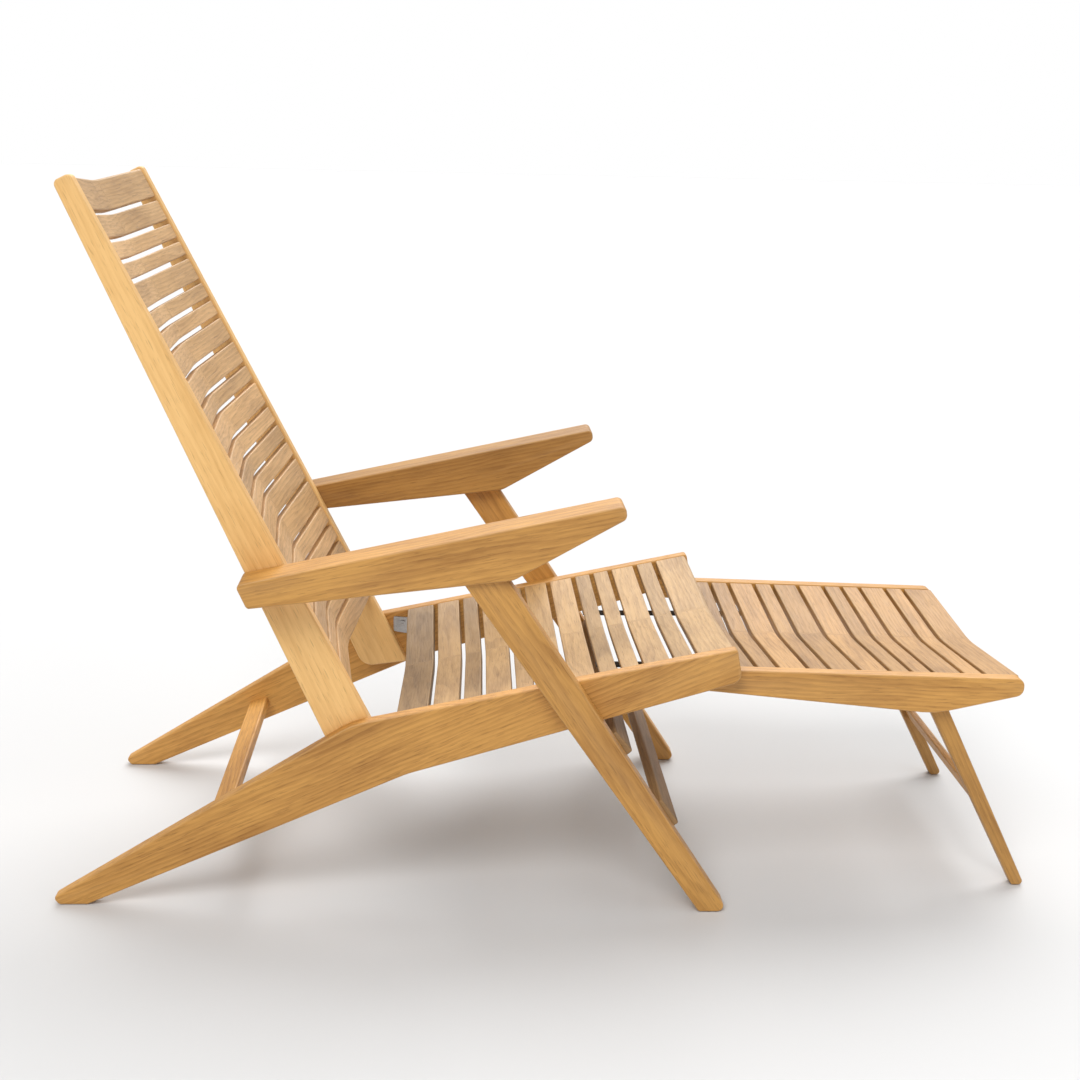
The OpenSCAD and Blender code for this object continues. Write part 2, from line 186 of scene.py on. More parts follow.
class ChairColours(bpy.types.PropertyGroup):
    """Colours of the wood and the steel."""
    post_light: colour("Post light", "Light wood of the back posts", (0.86, 0.53, 0.205))
    post_dark: colour("Post dark", "Dark wood of the back posts", (0.64, 0.335, 0.095))
    frame_light: colour("Frame light", "Light wood of rails, legs and arms", (0.63, 0.322, 0.077))
    frame_dark: colour("Frame dark", "Dark wood of rails, legs and arms", (0.26, 0.100, 0.017))
    slat_light: colour("Slat light", "Light wood of the slats", (0.51, 0.325, 0.156))
    slat_dark: colour("Slat dark", "Dark wood of the slats", (0.22, 0.122, 0.050))
    brace_light: colour("Stretcher light", "Light wood of the stretchers", (0.29, 0.155, 0.053))
    brace_dark: colour("Stretcher dark", "Dark wood of the stretchers", (0.12, 0.060, 0.017))
    steel: colour("Steel", "Bolts, screws and pins", (0.62, 0.63, 0.65))
    bracket: colour("Bracket", "Bright steel of the seat brackets", (0.46, 0.45, 0.44))
    runner: colour("Runner", "Dark steel of the footrest runners", (0.055, 0.048, 0.043))


class ChairStage(bpy.types.PropertyGroup):
    """Floor and light."""
    floor: colour("Floor", "Colour of the floor", (0.63, 0.63, 0.63))
    sky: bpy.props.FloatProperty(
        name="Fill light", description="Strength of the even light from all around",
        min=0, max=5, default=0.36)
    key: bpy.props.FloatProperty(
        name="Key light", description="Strength of the large soft light",
        min=0, max=20, default=1.72)


# ---------- shape helpers ----------

def node_points(node):
    """All corner points of a CAD node, as an array of rows x, y, z."""
    mesh = NODES[node].data
    co = np.zeros(len(mesh.vertices) * 3, np.float32)
    mesh.vertices.foreach_get("co", co)
    return co.reshape(-1, 3).astype(float)


def node_triangles(node):
    """The triangles of a CAD node as indices into node_points, equal points merged."""
    mesh = NODES[node].data
    mesh.calc_loop_triangles()
    tri = np.zeros(len(mesh.loop_triangles) * 3, np.int32)
    mesh.loop_triangles.foreach_get("vertices", tri)
    co = node_points(node)
    keys = np.round(co * MERGE_GRID).astype(np.int64)
    kept, place = np.unique(keys, axis=0, return_inverse=True)
    merged = np.zeros((len(kept), 3))
    merged[place.ravel()] = co
    tri = place.ravel()[tri].reshape(-1, 3)
    whole = (tri[:, 0] != tri[:, 1]) & (tri[:, 1] != tri[:, 2]) & (tri[:, 0] != tri[:, 2])
    return merged, tri[whole]


def node_solids(node):
    """The separate solids of a CAD node, each as an array of points."""
    co, tri = node_triangles(node)
    label = np.arange(len(co))
    while True:
        low = label[tri].min(axis=1)
        new = label.copy()
        np.minimum.at(new, tri.ravel(), np.repeat(low, 3))
        if (new == label).all():
            break
        label = new
    return [co[label == k] for k in np.unique(label)]


def side_outline(node, outward):
    """Outer loop, as rows x, z, of the flat face of a node that lies furthest along outward * Y."""
    co, tri = node_triangles(node)
    edge_y = (co[:, 1] * outward).max()
    flat = (np.abs(co[tri][:, :, 1] * outward - edge_y) < FLAT).all(axis=1)
    pairs = {}
    for a, b, c in tri[flat]:
        for p, q in ((a, b), (b, c), (c, a)):
            if (q, p) in pairs:
                del pairs[(q, p)]
            else:
                pairs[(p, q)] = True
    follow = {p: q for p, q in pairs}
    best, best_area = None, 0
    while follow:
        start, at = next(iter(follow.items()))
        del follow[start]
        loop = [start]
        while at != start and at in follow:
            loop.append(at)
            at = follow.pop(at)
        xz = co[loop][:, [0, 2]]
        area = loop_area(xz)
        if abs(area) > abs(best_area):
            best, best_area = xz, area
    if best is None:
        raise RuntimeError("no flat side face on " + node)
    return best if best_area > 0 else best[::-1]


def loop_area(p):
    """Signed area of a closed loop: half the sum of the cross products of its edges."""
    q = np.roll(p, -1, axis=0)
    return 0.5 * float((p[:, 0] * q[:, 1] - q[:, 0] * p[:, 1]).sum())


def even_loop(p, step):
    """The loop without points that are too close together, and with long edges split to step."""
    gap = np.linalg.norm(p - np.roll(p, 1, axis=0), axis=1)
    p = p[gap > SHORT_EDGE]
    q = np.roll(p, -1, axis=0)
    out = []
    for a, b in zip(p, q):
        n = max(1, int(math.ceil(np.linalg.norm(b - a) / step)))
        out.append(a + (b - a) * (np.arange(n) / n)[:, None])
    return np.concatenate(out)


def loop_normals(p):
    """Outward normals at the points of a loop and the stretch that keeps inset edges parallel.

    The stretch is 1 / cosine of half the turn at a point, held back at very sharp corners."""
    e = np.roll(p, -1, axis=0) - p
    e /= np.linalg.norm(e, axis=1)[:, None]
    n = np.stack([e[:, 1], -e[:, 0]], axis=1)
    before = np.roll(n, 1, axis=0)
    total = n + before
    unit = total / np.linalg.norm(total, axis=1)[:, None]
    stretch = 1.0 / np.maximum(SHARPEST, (unit * n).sum(axis=1))
    return unit, stretch


def rounded_rect(low, high, radii):
    """Points, normals and wear of a rectangle with quarter-circle corners.

    Each corner is centre + radius * (cos t, sin t) with t over a quarter turn; wear rises to 1 in
    the middle of a corner as a half sine and is 0 where the flats begin."""
    (x0, y0), (x1, y1) = low, high
    corners = ((x1, y1, 0, radii[0]), (x0, y1, 1, radii[1]), (x0, y0, 2, radii[2]),
               (x1, y0, 3, radii[3]))
    points, normals, wear = [], [], []
    for x, y, quarter, r in corners:
        t = (quarter + EDGE_SHARES) * math.pi / 2
        unit = np.stack([np.cos(t), np.sin(t)], axis=1)
        cx = x - r if x == x1 else x + r
        cy = y - r if y == y1 else y + r
        points.append(np.array([cx, cy]) + r * unit)
        normals.append(unit)
        wear.append(np.sin(EDGE_SHARES * math.pi) * 0.75 + 0.25)
    points, normals, wear = (np.concatenate(part) for part in (points, normals, wear))
    flat = (np.abs(normals) > 0.999).any(axis=1)
    return points, normals, np.where(flat, 0, wear)


def tube_faces(rows, around):
    """Faces of a closed tube: quads that join point (j, i) to (j, i+1) and to row j+1, with the
    points of a row closing around, and one face over each end."""
    j, i = np.meshgrid(np.arange(rows - 1), np.arange(around), indexing="ij")
    k = (i + 1) % around
    quads = np.stack([j * around + i, j * around + k, (j + 1) * around + k, (j + 1) * around + i],
                     axis=-1)
    ends = [list(range(around))[::-1], list(range((rows - 1) * around, rows * around))]
    return quads.reshape(-1, 4).tolist() + ends


def in_panel(points, slope):
    """Row points x, z turned into u along and w out of a panel with this slope."""
    a = math.radians(slope)
    u = math.cos(a) * points[:, 0] + math.sin(a) * points[:, 2]
    w = -math.sin(a) * points[:, 0] + math.cos(a) * points[:, 2]
    return u, w


def out_of_panel(u, y, w, slope):
    """Panel u, w and side y turned back into row points."""
    a = math.radians(slope)
    return np.stack([math.cos(a) * u - math.sin(a) * w, y, math.sin(a) * u + math.cos(a) * w],
                    axis=-1)


def chance(name):
    """Four steady random numbers from 0 to 1 that depend only on a piece's name."""
    seed = sum((k + 1) * ord(c) for k, c in enumerate(name)) % 100003
    return np.random.default_rng(seed).random(4)


def piece_tone(node, luck, count):
    """The tone of a piece, the same at all its points: its own, or one by chance from -1 to 1."""
    return np.full(count, SHADE.get(node, luck[3] * 2 - 1))


def grain_place(along, across, into, luck, shift):
    """Where points lie in the log: their place along, across and into the grain, each moved by
    chance times the shift, and back by half the shift across and into."""
    return np.stack([along + luck[0] * shift[0], across + luck[1] * shift[1] - shift[1] / 2,
                     into + luck[2] * shift[2] - shift[2] / 2], axis=-1)


def make_piece(name, node, points, faces, normals, grain, tone, wear, material):
    """One mesh object that stands for a CAD node, or for a share of it, and rides on its body."""
    mesh = bpy.data.meshes.new(name)
    mesh.from_pydata(points.tolist(), [], faces)
    mesh.update()
    mesh.calc_loop_triangles()
    tri = np.zeros(len(mesh.loop_triangles) * 3, np.int32)
    mesh.loop_triangles.foreach_get("vertices", tri)
    a, b, c = points[tri.reshape(-1, 3)].transpose(1, 0, 2)
    if float((np.cross(a, b) * c).sum()) < 0:
        mesh.flip_normals()
    mesh.shade_smooth()
    mesh.normals_split_custom_set_from_vertices(normals.tolist())
    for key, kind, values in (("grain", "FLOAT_VECTOR", grain), ("tone", "FLOAT", tone),
                              ("wear", "FLOAT", wear)):
        layer = mesh.attributes.new(key, kind, "POINT")
        field = "vector" if kind == "FLOAT_VECTOR" else "value"
        layer.data.foreach_set(field, np.ascontiguousarray(values, np.float32).ravel())
    mesh.materials.append(material)
    obj = bpy.data.objects.new(name, mesh)
    bpy.context.scene.collection.objects.link(obj)
    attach(obj, BODY_OF[node])
    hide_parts(node)
    return obj


def board(name, node, outward, ease, slope, material):
    """A board with eased edges: the outline of its side face, carried across its thickness.

    Ring k of each edge is set in by ease * (1 - sin t) and stands ease * (1 - cos t) inside the
    face, with t from 0 to a quarter turn. The grain runs along slope."""
    low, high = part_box(node)
    outline = even_loop(side_outline(node, outward), BOARD_STEP)
    unit, stretch = loop_normals(outline)
    t = EDGE_SHARES * math.pi / 2
    inset = ease * (1 - np.sin(t))
    depth = ease * (1 - np.cos(t))
    ys = np.concatenate([low.y + depth, (high.y - depth)[::-1]])
    insets = np.concatenate([inset, inset[::-1]])
    tilt = np.concatenate([-np.cos(t), np.cos(t)[::-1]])
    lean = np.concatenate([np.sin(t), np.sin(t)[::-1]])
    xz = outline[None] - unit[None] * (stretch[None] * insets[:, None])[..., None]
    rows, around = xz.shape[:2]
    points = np.empty((rows, around, 3))
    points[..., 0] = xz[..., 0]
    points[..., 1] = ys[:, None]
    points[..., 2] = xz[..., 1]
    normals = np.empty_like(points)
    normals[..., 0] = unit[None, :, 0] * lean[:, None]
    normals[..., 1] = tilt[:, None]
    normals[..., 2] = unit[None, :, 1] * lean[:, None]
    points = points.reshape(-1, 3)
    u, w = in_panel(points, slope)
    luck = chance(name)
    grain = grain_place(u, points[:, 1], w, luck, BOARD_SHIFT)
    along = np.array([math.cos(math.radians(slope)), math.sin(math.radians(slope))])
    end = np.abs(unit @ along) ** 6
    edge = np.sin(np.concatenate([t, t[::-1]]) * 2)
    wear = np.maximum(np.broadcast_to(end, (rows, around)) * BOARD_END_WEAR, edge[:, None])
    return make_piece(name, node, points, tube_faces(rows, around), normals.reshape(-1, 3), grain,
                      piece_tone(node, luck, len(points)), wear.ravel(), material)


def bar(name, node, solid, slope, half_span, radii, crease, radius, material, thickness=None):
    """A bar across the chair: a rectangle with rounded corners carried along Y.

    The bar sinks by crease * (1 - |y| / half span) towards its middle. The valley has the given
    radius there, so within its reach it is a parabola that meets both slopes."""
    u, w = in_panel(solid, slope)
    thickness = thickness or (w.max() - w.min())
    ring, ring_normal, ring_wear_and_highlight = rounded_rect(
        (u.min(), w.max() - thickness), (u.max(), w.max()), radii)
    luck = chance(name)
    if crease > 0:
        fall = crease / half_span
        reach = radius * fall
        valley = np.linspace(-1, 1, VALLEY_POINTS) * max(reach, LEAST_REACH) * VALLEY_COVER
        y = np.concatenate([np.linspace(-1, -HALF_START, HALF_POINTS) * half_span, valley,
                            np.linspace(HALF_START, 1, HALF_POINTS) * half_span])
        y = np.unique(np.round(y, 6))
        drop = np.where(np.abs(y) < reach, fall * (y * y / (2 * reach) + reach / 2),
                        fall * np.abs(y))
        slope_y = np.clip(y / reach, -1, 1) * fall
        rise = drop - crease
    else:
        y = np.linspace(-1, 1, STRAIGHT_POINTS) * half_span
        rise = np.zeros_like(y)
        slope_y = np.zeros_like(y)
    ease = min(radii)
    t = EDGE_SHARES * math.pi / 2
    ahead = -half_span + ease * (1 - np.cos(t))
    inner = y[np.abs(y) < half_span - ease * 1.01]
    lean = np.concatenate([np.sin(t), np.ones(len(inner)), np.sin(t)[::-1]])
    tilt = np.concatenate([-np.cos(t), np.zeros(len(inner)), np.cos(t)[::-1]])
    along = np.concatenate([ahead, inner, -ahead[::-1]])
    rise = np.interp(along, y, rise)
    slope_y = np.interp(along, y, slope_y)
    ring = ring[None] - ring_normal[None] * (ease * (1 - lean))[:, None, None]
    rows, around = ring.shape[:2]
    uu = ring[..., 0]
    ww = ring[..., 1] + rise[:, None]
    yy = np.broadcast_to(along[:, None], (rows, around))
    points = out_of_panel(uu, yy, ww, slope).reshape(-1, 3)
    nu = ring_normal[None, :, 0] * lean[:, None]
    nw = ring_normal[None, :, 1] * lean[:, None]
    normals = out_of_panel(nu, tilt[:, None] - nw * slope_y[:, None], nw, slope).reshape(-1, 3)
    normals /= np.linalg.norm(normals, axis=1)[:, None]
    grain = grain_place(yy, uu, ww - rise[:, None], luck, BAR_SHIFT)
    if crease > 0:
        grain += (yy > 0)[..., None] * np.array(HALF_SHIFT)
    wear = np.maximum(np.broadcast_to(ring_wear_and_highlight[None], (rows, around)),
                      np.abs(tilt)[:, None] * BAR_END_WEAR)
    return make_piece(name, node, points, tube_faces(rows, around), normals,
                      grain.reshape(-1, 3), piece_tone(node, luck, len(points)), wear.ravel(),
                      material)


# ---------- shader helpers ----------

def new_material(name):
    """A material with nodes, its tree, its Principled BSDF."""
    material = bpy.data.materials.new(name)
    material.use_nodes = True
    tree = material.node_tree
    return material, tree, tree.nodes["Principled BSDF"]


def add(tree, kind, at, **settings):
    """A node at a place, with its settings."""
    node = tree.nodes.new(kind)
    node.location = at
    for key, value in settings.items():
        setattr(node, key, value)
    return node


def new_group(name, inputs, outputs):
    """A shader node group with named sockets, given as (name, type, default)."""
    group = bpy.data.node_groups.new(name, "ShaderNodeTree")
    for label, kind, value in inputs:
        socket = group.interface.new_socket(name=label, in_out="INPUT", socket_type=kind)
        if value is not None:
            socket.default_value = value
    for label, kind in outputs:
        group.interface.new_socket(name=label, in_out="OUTPUT", socket_type=kind)
    return group, add(group, "NodeGroupInput", (-1200, 0)), add(group, "NodeGroupOutput", (900, 0))


def scaled(tree, source, at, scale):
    """A Mapping node that scales a vector."""
    node = add(tree, "ShaderNodeMapping", at)
    node.inputs["Scale"].default_value = scale
    tree.links.new(source, node.inputs["Vector"])
    return node.outputs["Vector"]


def noise(tree, vector, at, scale, detail, rough=0.55):
    """A noise texture's value."""
    node = add(tree, "ShaderNodeTexNoise", at)
    node.inputs["Scale"].default_value = scale
    node.inputs["Detail"].default_value = detail
    node.inputs["Roughness"].default_value = rough
    tree.links.new(vector, node.inputs["Vector"])
    return node.outputs["Fac"]


def sum_up(tree, kind, a, b, at, clamp=False):
    """A Math node; each side is a socket or a number."""
    node = add(tree, "ShaderNodeMath", at, operation=kind, use_clamp=clamp)
    for side, value in ((0, a), (1, b)):
        if isinstance(value, (int, float)):
            node.inputs[side].default_value = value
        else:
            tree.links.new(value, node.inputs[side])
    return node.outputs[0]


def ramp(tree, value, at, low, high, to_low=0.0, to_high=1.0):
    """A smooth step of a value from low to high."""
    node = add(tree, "ShaderNodeMapRange", at, interpolation_type="SMOOTHSTEP")
    node.inputs["From Min"].default_value = low
    node.inputs["From Max"].default_value = high
    node.inputs["To Min"].default_value = to_low
    node.inputs["To Max"].default_value = to_high
    tree.links.new(value, node.inputs["Value"])
    return node.outputs["Result"]


def blend_colour(tree, factor, a, b, at):
    """A colour mix by a socket's value; each colour is a socket or a tuple."""
    node = add(tree, "ShaderNodeMix", at, data_type="RGBA")
    tree.links.new(factor, node.inputs[0])
    for side, value in ((6, a), (7, b)):
        if isinstance(value, tuple):
            node.inputs[side].default_value = value
        else:
            tree.links.new(value, node.inputs[side])
    return node.outputs[2]


def relief(tree, height, shader, strength, depth, at):
    """A Bump node that turns a height into the shader's normal."""
    bump = add(tree, "ShaderNodeBump", at)
    bump.inputs["Strength"].default_value = strength
    bump.inputs["Distance"].default_value = depth
    tree.links.new(height, bump.inputs["Height"])
    tree.links.new(bump.outputs["Normal"], shader.inputs["Normal"])


def grain_group():
    """Wood grain: growth rings by the distance from the pith, fine fibres, pores and slow drifts.

    Inputs are the grain vector and settings. Outputs, all from 0 to 1, are Rings (dark at 1),
    Fibres, Pores, Cloud (broad drifts of tone) and Veins (dark streaks between the two sizes)."""
    group, into, out = new_group(
        "Wood Grain",
        [("Grain", "NodeSocketVector", None), ("Ring Width", "NodeSocketFloat", 0.006),
         ("Waviness", "NodeSocketFloat", 0.010)],
        [("Rings", "NodeSocketFloat"), ("Fibres", "NodeSocketFloat"),
         ("Pores", "NodeSocketFloat"), ("Cloud", "NodeSocketFloat"),
         ("Veins", "NodeSocketFloat")])
    grain = into.outputs["Grain"]
    slow = noise(group, scaled(group, grain, (-1000, 300), (1.6, 9, 9)), (-800, 300), 1.0, 3)
    shift = sum_up(group, "MULTIPLY", sum_up(group, "SUBTRACT", slow, 0.5, (-620, 300)),
                   into.outputs["Waviness"], (-460, 300))
    fine = noise(group, scaled(group, grain, (-1000, 520), (3.5, 60, 60)), (-800, 520), 1.0, 3)
    jitter = sum_up(group, "MULTIPLY", sum_up(group, "SUBTRACT", fine, 0.5, (-620, 520)),
                    0.004, (-460, 520))
    parts = add(group, "ShaderNodeSeparateXYZ", (-1000, 60))
    group.links.new(grain, parts.inputs[0])
    yy = sum_up(group, "MULTIPLY", parts.outputs[1], parts.outputs[1], (-820, 100))
    zz = sum_up(group, "MULTIPLY", parts.outputs[2], parts.outputs[2], (-820, -40))
    far = sum_up(group, "SQRT", sum_up(group, "ADD", yy, zz, (-660, 40)), 0.0, (-500, 40))
    far = sum_up(group, "ADD", sum_up(group, "ADD", far, shift, (-330, 160)), jitter, (-180, 200))
    turns = sum_up(group, "DIVIDE", far, into.outputs["Ring Width"], (-30, 160))
    part = sum_up(group, "FRACT", turns, 0.0, (120, 160))
    late = ramp(group, part, (280, 240), 0.10, 0.95)
    early = ramp(group, part, (280, 20), 0.90, 1.0, 1.0, 0.0)
    rings = sum_up(group, "MULTIPLY", late, early, (460, 160))
    group.links.new(rings, out.inputs["Rings"])
    fibres = noise(group, scaled(group, grain, (-1000, -240), (26, 430, 430)), (-800, -240), 1.0, 4,
                   0.62)
    group.links.new(fibres, out.inputs["Fibres"])
    specks = noise(group, scaled(group, grain, (-1000, -480), (36, 640, 640)), (-800, -480), 1.0,
                   2)
    group.links.new(ramp(group, specks, (-600, -480), 0.58, 0.72), out.inputs["Pores"])
    cloud = noise(group, scaled(group, grain, (-1000, -720), (5.0, 17, 17)), (-800, -720), 1.0, 3)
    group.links.new(cloud, out.inputs["Cloud"])
    veins = noise(group, scaled(group, grain, (-1000, -960), (8, 70, 70)), (-800, -960), 1.0, 3,
                  0.6)
    group.links.new(ramp(group, veins, (-600, -960), 0.42, 0.74), out.inputs["Veins"])
    return group


def wood(name, group, light, dark, ring_width, waviness, ring_strength, tone_spread, rough,
         edge_tint):
    """A wood finish from the grain group: two colours, board-to-board tone, edges in their own tint
    that is partly wear and partly a painted highlight, relief.
    """
    material, tree, shader = new_material(name)
    place = add(tree, "ShaderNodeAttribute", (-1500, 200), attribute_name="grain")
    tone = add(tree, "ShaderNodeAttribute", (-1500, -200), attribute_name="tone")
    wear = add(tree, "ShaderNodeAttribute", (-1500, -500), attribute_name="wear")
    figure = add(tree, "ShaderNodeGroup", (-1250, 200), node_tree=group)
    figure.inputs["Ring Width"].default_value = ring_width
    figure.inputs["Waviness"].default_value = waviness
    tree.links.new(place.outputs["Vector"], figure.inputs["Grain"])
    rings, fibres = figure.outputs["Rings"], figure.outputs["Fibres"]
    pores, cloud = figure.outputs["Pores"], figure.outputs["Cloud"]
    amount = sum_up(tree, "MULTIPLY", rings, ring_strength, (-1000, 300))
    streak = ramp(tree, fibres, (-1000, 80), 0.28, 0.74, 0.0, STREAKS)
    amount = sum_up(tree, "ADD", amount, streak, (-820, 240))
    drift = sum_up(tree, "MULTIPLY", sum_up(tree, "SUBTRACT", cloud, 0.5, (-1000, -120)),
                   CLOUDS, (-820, -120))
    amount = sum_up(tree, "ADD", amount, drift, (-660, 200))
    vein = sum_up(tree, "MULTIPLY", figure.outputs["Veins"], VEINS, (-820, -300))
    amount = sum_up(tree, "ADD", amount, vein, (-560, 120), clamp=True)
    body = blend_colour(tree, amount, (*light, 1), (*dark, 1), (-480, 260))
    pore_mask = sum_up(tree, "MULTIPLY", pores, PORES, (-480, 20))
    body = blend_colour(tree, pore_mask, body, (dark[0] * 0.45, dark[1] * 0.42, dark[2] * 0.4, 1),
                        (-300, 260))
    shade = add(tree, "ShaderNodeHueSaturation", (-120, 260))
    tree.links.new(body, shade.inputs["Color"])
    value = sum_up(tree, "ADD", sum_up(tree, "MULTIPLY", tone.outputs["Fac"], tone_spread,
                                       (-480, -200)), 1.0, (-300, -200))
    tree.links.new(value, shade.inputs["Value"])
    # Edges and ends take the edge tint: partly real wear, partly a painted highlight along the
    # rounded edges
    rub_and_highlight = sum_up(tree, "MULTIPLY", wear.outputs["Fac"],
                 ramp(tree, cloud, (-660, -500), 0.25, 0.7, 0.35, 1.0), (-480, -500))
    rub_and_highlight = sum_up(tree, "MULTIPLY", rub_and_highlight, RUB_AND_HIGHLIGHT, (-300, -500), clamp=True)
    final = blend_colour(tree, rub_and_highlight, shade.outputs["Color"], (*edge_tint, 1), (80, 200))
    tree.links.new(final, shader.inputs["Base Color"])
    gloss = ramp(tree, fibres, (80, -60), 0.2, 0.8, rough - 0.07, rough + 0.08)
    tree.links.new(gloss, shader.inputs["Roughness"])
    height = sum_up(tree, "MULTIPLY", fibres, FIBRE_RELIEF, (80, -240))
    hollow = sum_up(tree, "MULTIPLY", pores, PORE_RELIEF, (80, -400))
    height = sum_up(tree, "SUBTRACT", height, hollow, (240, -300))
    groove = sum_up(tree, "MULTIPLY", rings, RING_RELIEF, (240, -460))
    height = sum_up(tree, "SUBTRACT", height, groove, (400, -300))
    relief(tree, height, shader, WOOD_BUMP, WOOD_RELIEF, (560, -260))
    shader.inputs["IOR"].default_value = 1.46
    shader.location = (760, 200)
    return material


def steel_group():
    """Brushed metal: fine scratches along X and soft stains, both from 0 to 1."""
    group, into, out = new_group(
        "Brushed Steel", [("Place", "NodeSocketVector", None)],
        [("Scratches", "NodeSocketFloat"), ("Stains", "NodeSocketFloat")])
    place = into.outputs["Place"]
    fine = noise(group, scaled(group, place, (-1000, 200), (90, 2600, 2600)), (-800, 200), 1.0, 4)
    group.links.new(fine, out.inputs["Scratches"])
    soft = noise(group, scaled(group, place, (-1000, -100), (60, 60, 60)), (-800, -100), 1.0, 4)
    group.links.new(ramp(group, soft, (-600, -100), 0.35, 0.75), out.inputs["Stains"])
    return group


def steel(name, group, base, rough, stain):
    """A steel finish with scratches in its roughness and relief, and stains in its colour."""
    material, tree, shader = new_material(name)
    place = add(tree, "ShaderNodeTexCoord", (-1000, 0))
    marks = add(tree, "ShaderNodeGroup", (-800, 0), node_tree=group)
    tree.links.new(place.outputs["Object"], marks.inputs["Place"])
    stained = tuple(c * stain for c in base)
    tint = blend_colour(tree, marks.outputs["Stains"], (*base, 1), (*stained, 1), (-500, 200))
    tree.links.new(tint, shader.inputs["Base Color"])
    gloss = ramp(tree, marks.outputs["Scratches"], (-500, -60), 0.3, 0.7, rough - 0.08, rough + 0.1)
    tree.links.new(gloss, shader.inputs["Roughness"])
    relief(tree, marks.outputs["Scratches"], shader, STEEL_BUMP, STEEL_RELIEF, (-300, -260))
    shader.inputs["Metallic"].default_value = 1.0
    return material


FINISH = {}


def finish_of(node):
    """The finish of a node, by its material slot."""
    return FINISH[SLOT_OF[node]]


# ---------- operators ----------

class CHAIR_OT_finishes(bpy.types.Operator):
    """Build the wood and steel finishes"""
    bl_idname = "chair.finishes"
    bl_label = "Finishes"

    def execute(self, context):
        c = context.scene.chair_colours
        grain = grain_group()
        brushed = steel_group()
        # Paler tint of the frame's edges: partly wear, partly a painted highlight
        worn_and_lit = (0.60, 0.37, 0.16)
        FINISH["post_wood"] = wood(
            "Post Wood", grain, tuple(c.post_light), tuple(c.post_dark), ring_width=0.0060,
            waviness=0.030, ring_strength=0.22, tone_spread=0.03, rough=0.46,
            edge_tint=(0.72, 0.47, 0.21))
        FINISH["arm_wood"] = wood(
            "Arm Wood", grain, tuple(c.frame_light), tuple(c.frame_dark), ring_width=0.0065,
            waviness=0.060, ring_strength=0.24, tone_spread=0.05, rough=0.48, edge_tint=worn_and_lit)
        FINISH["frame_wood"] = wood(
            "Frame Wood", grain, tuple(c.frame_light), tuple(c.frame_dark), ring_width=0.0060,
            waviness=0.050, ring_strength=0.24, tone_spread=0.05, rough=0.48, edge_tint=worn_and_lit)
        # One copy of the slat wood for each panel, each scaled by its own factor; the lighter back
        # and the darker, more orange footrest partly paint the light and shade on those panels
        panel_tints_and_light = (("seat_slat_wood", (0.97, 0.95, 0.86)), ("back_slat_wood", (1.32, 1.28, 1.22)),
                   ("footrest_slat_wood", (0.98, 0.84, 0.60)))
        for slot, tint in panel_tints_and_light:
            light = tuple(a * b for a, b in zip(c.slat_light, tint))
            dark = tuple(a * b for a, b in zip(c.slat_dark, tint))
            FINISH[slot] = wood(
                slot.replace("_", " ").title(), grain, light, dark, ring_width=0.0070,
                waviness=0.070, ring_strength=0.24, tone_spread=0.16, rough=0.52,
                edge_tint=(0.46, 0.31, 0.175))
        FINISH["stretcher_wood"] = wood(
            "Stretcher Wood", grain, tuple(c.brace_light), tuple(c.brace_dark), ring_width=0.0060,
            waviness=0.040, ring_strength=0.30, tone_spread=0.08, rough=0.58,
            edge_tint=(0.40, 0.26, 0.13))
        for slot, base, rough, stain in (("bolt_steel", c.steel, 0.34, 0.75),
                                         ("bracket_steel", c.bracket, 0.30, 0.80),
                                         ("dark_steel", c.runner, 0.52, 0.6)):
            FINISH[slot] = steel(slot.replace("_", " ").title(), brushed, tuple(base), rough,
                                 stain)
        return {"FINISHED"}


class CHAIR_OT_boards(bpy.types.Operator):
    """Build the rails, legs, armrests and posts"""
    bl_idname = "chair.boards"
    bl_label = "Rails, Legs, Arms and Posts"

    def execute(self, context):
        ease = context.scene.chair_sizes.board_ease
        slopes = {"seat_rail": REAR_RAIL_SLOPE, "front_leg": LEG_SLOPE, "armrest": ARM_SLOPE,
                  "back_post": POST_SLOPE, "footrest_rail": FOOTREST_SLOPE,
                  "footrest_leg": FOOT_LEG_SLOPE}
        for side, outward in zip(SIDES, (1, -1)):
            for part, slope in slopes.items():
                node = side + "_" + part
                board(node + "_board", node, outward, ease, slope, finish_of(node))
        return {"FINISHED"}


class CHAIR_OT_slats(bpy.types.Operator):
    """Build the creased slats of the seat, the back and the footrest"""
    bl_idname = "chair.slats"
    bl_label = "Slats"

    def execute(self, context):
        s = context.scene.chair_sizes
        e = s.slat_ease
        panels = (("seat_slat", SEAT_SLOPE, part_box("left_seat_rail")[0].y),
                  ("back_", BACK_SLOPE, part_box("left_back_post")[0].y),
                  ("footrest_slat", FOOTREST_SLOPE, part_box("left_footrest_rail")[0].y))
        for stem, slope, half_span in panels:
            nodes = sorted(n for n in NODES if n.startswith(stem))
            for node in nodes:
                for k, solid in enumerate(node_solids(node)):
                    w = in_panel(solid, slope)[1]
                    crease = w.max() - w.min() - s.slat_thickness
                    radii = (e, e, e, e)
                    if node == nodes[-1] and stem == "seat_slat":
                        radii = (s.nose_ease, e, e, s.nose_ease)
                    if node == "back_top_slat":
                        radii = (e, s.top_ease, s.top_ease, e)
                    name = node + ("_board" if node.startswith(("seat", "foot", "back_top"))
                                   else "_%02d" % (k + 1))
                    bar(name, node, solid, slope, half_span, radii, crease, s.crease_radius,
                        finish_of(node), thickness=s.slat_thickness)
        return {"FINISHED"}


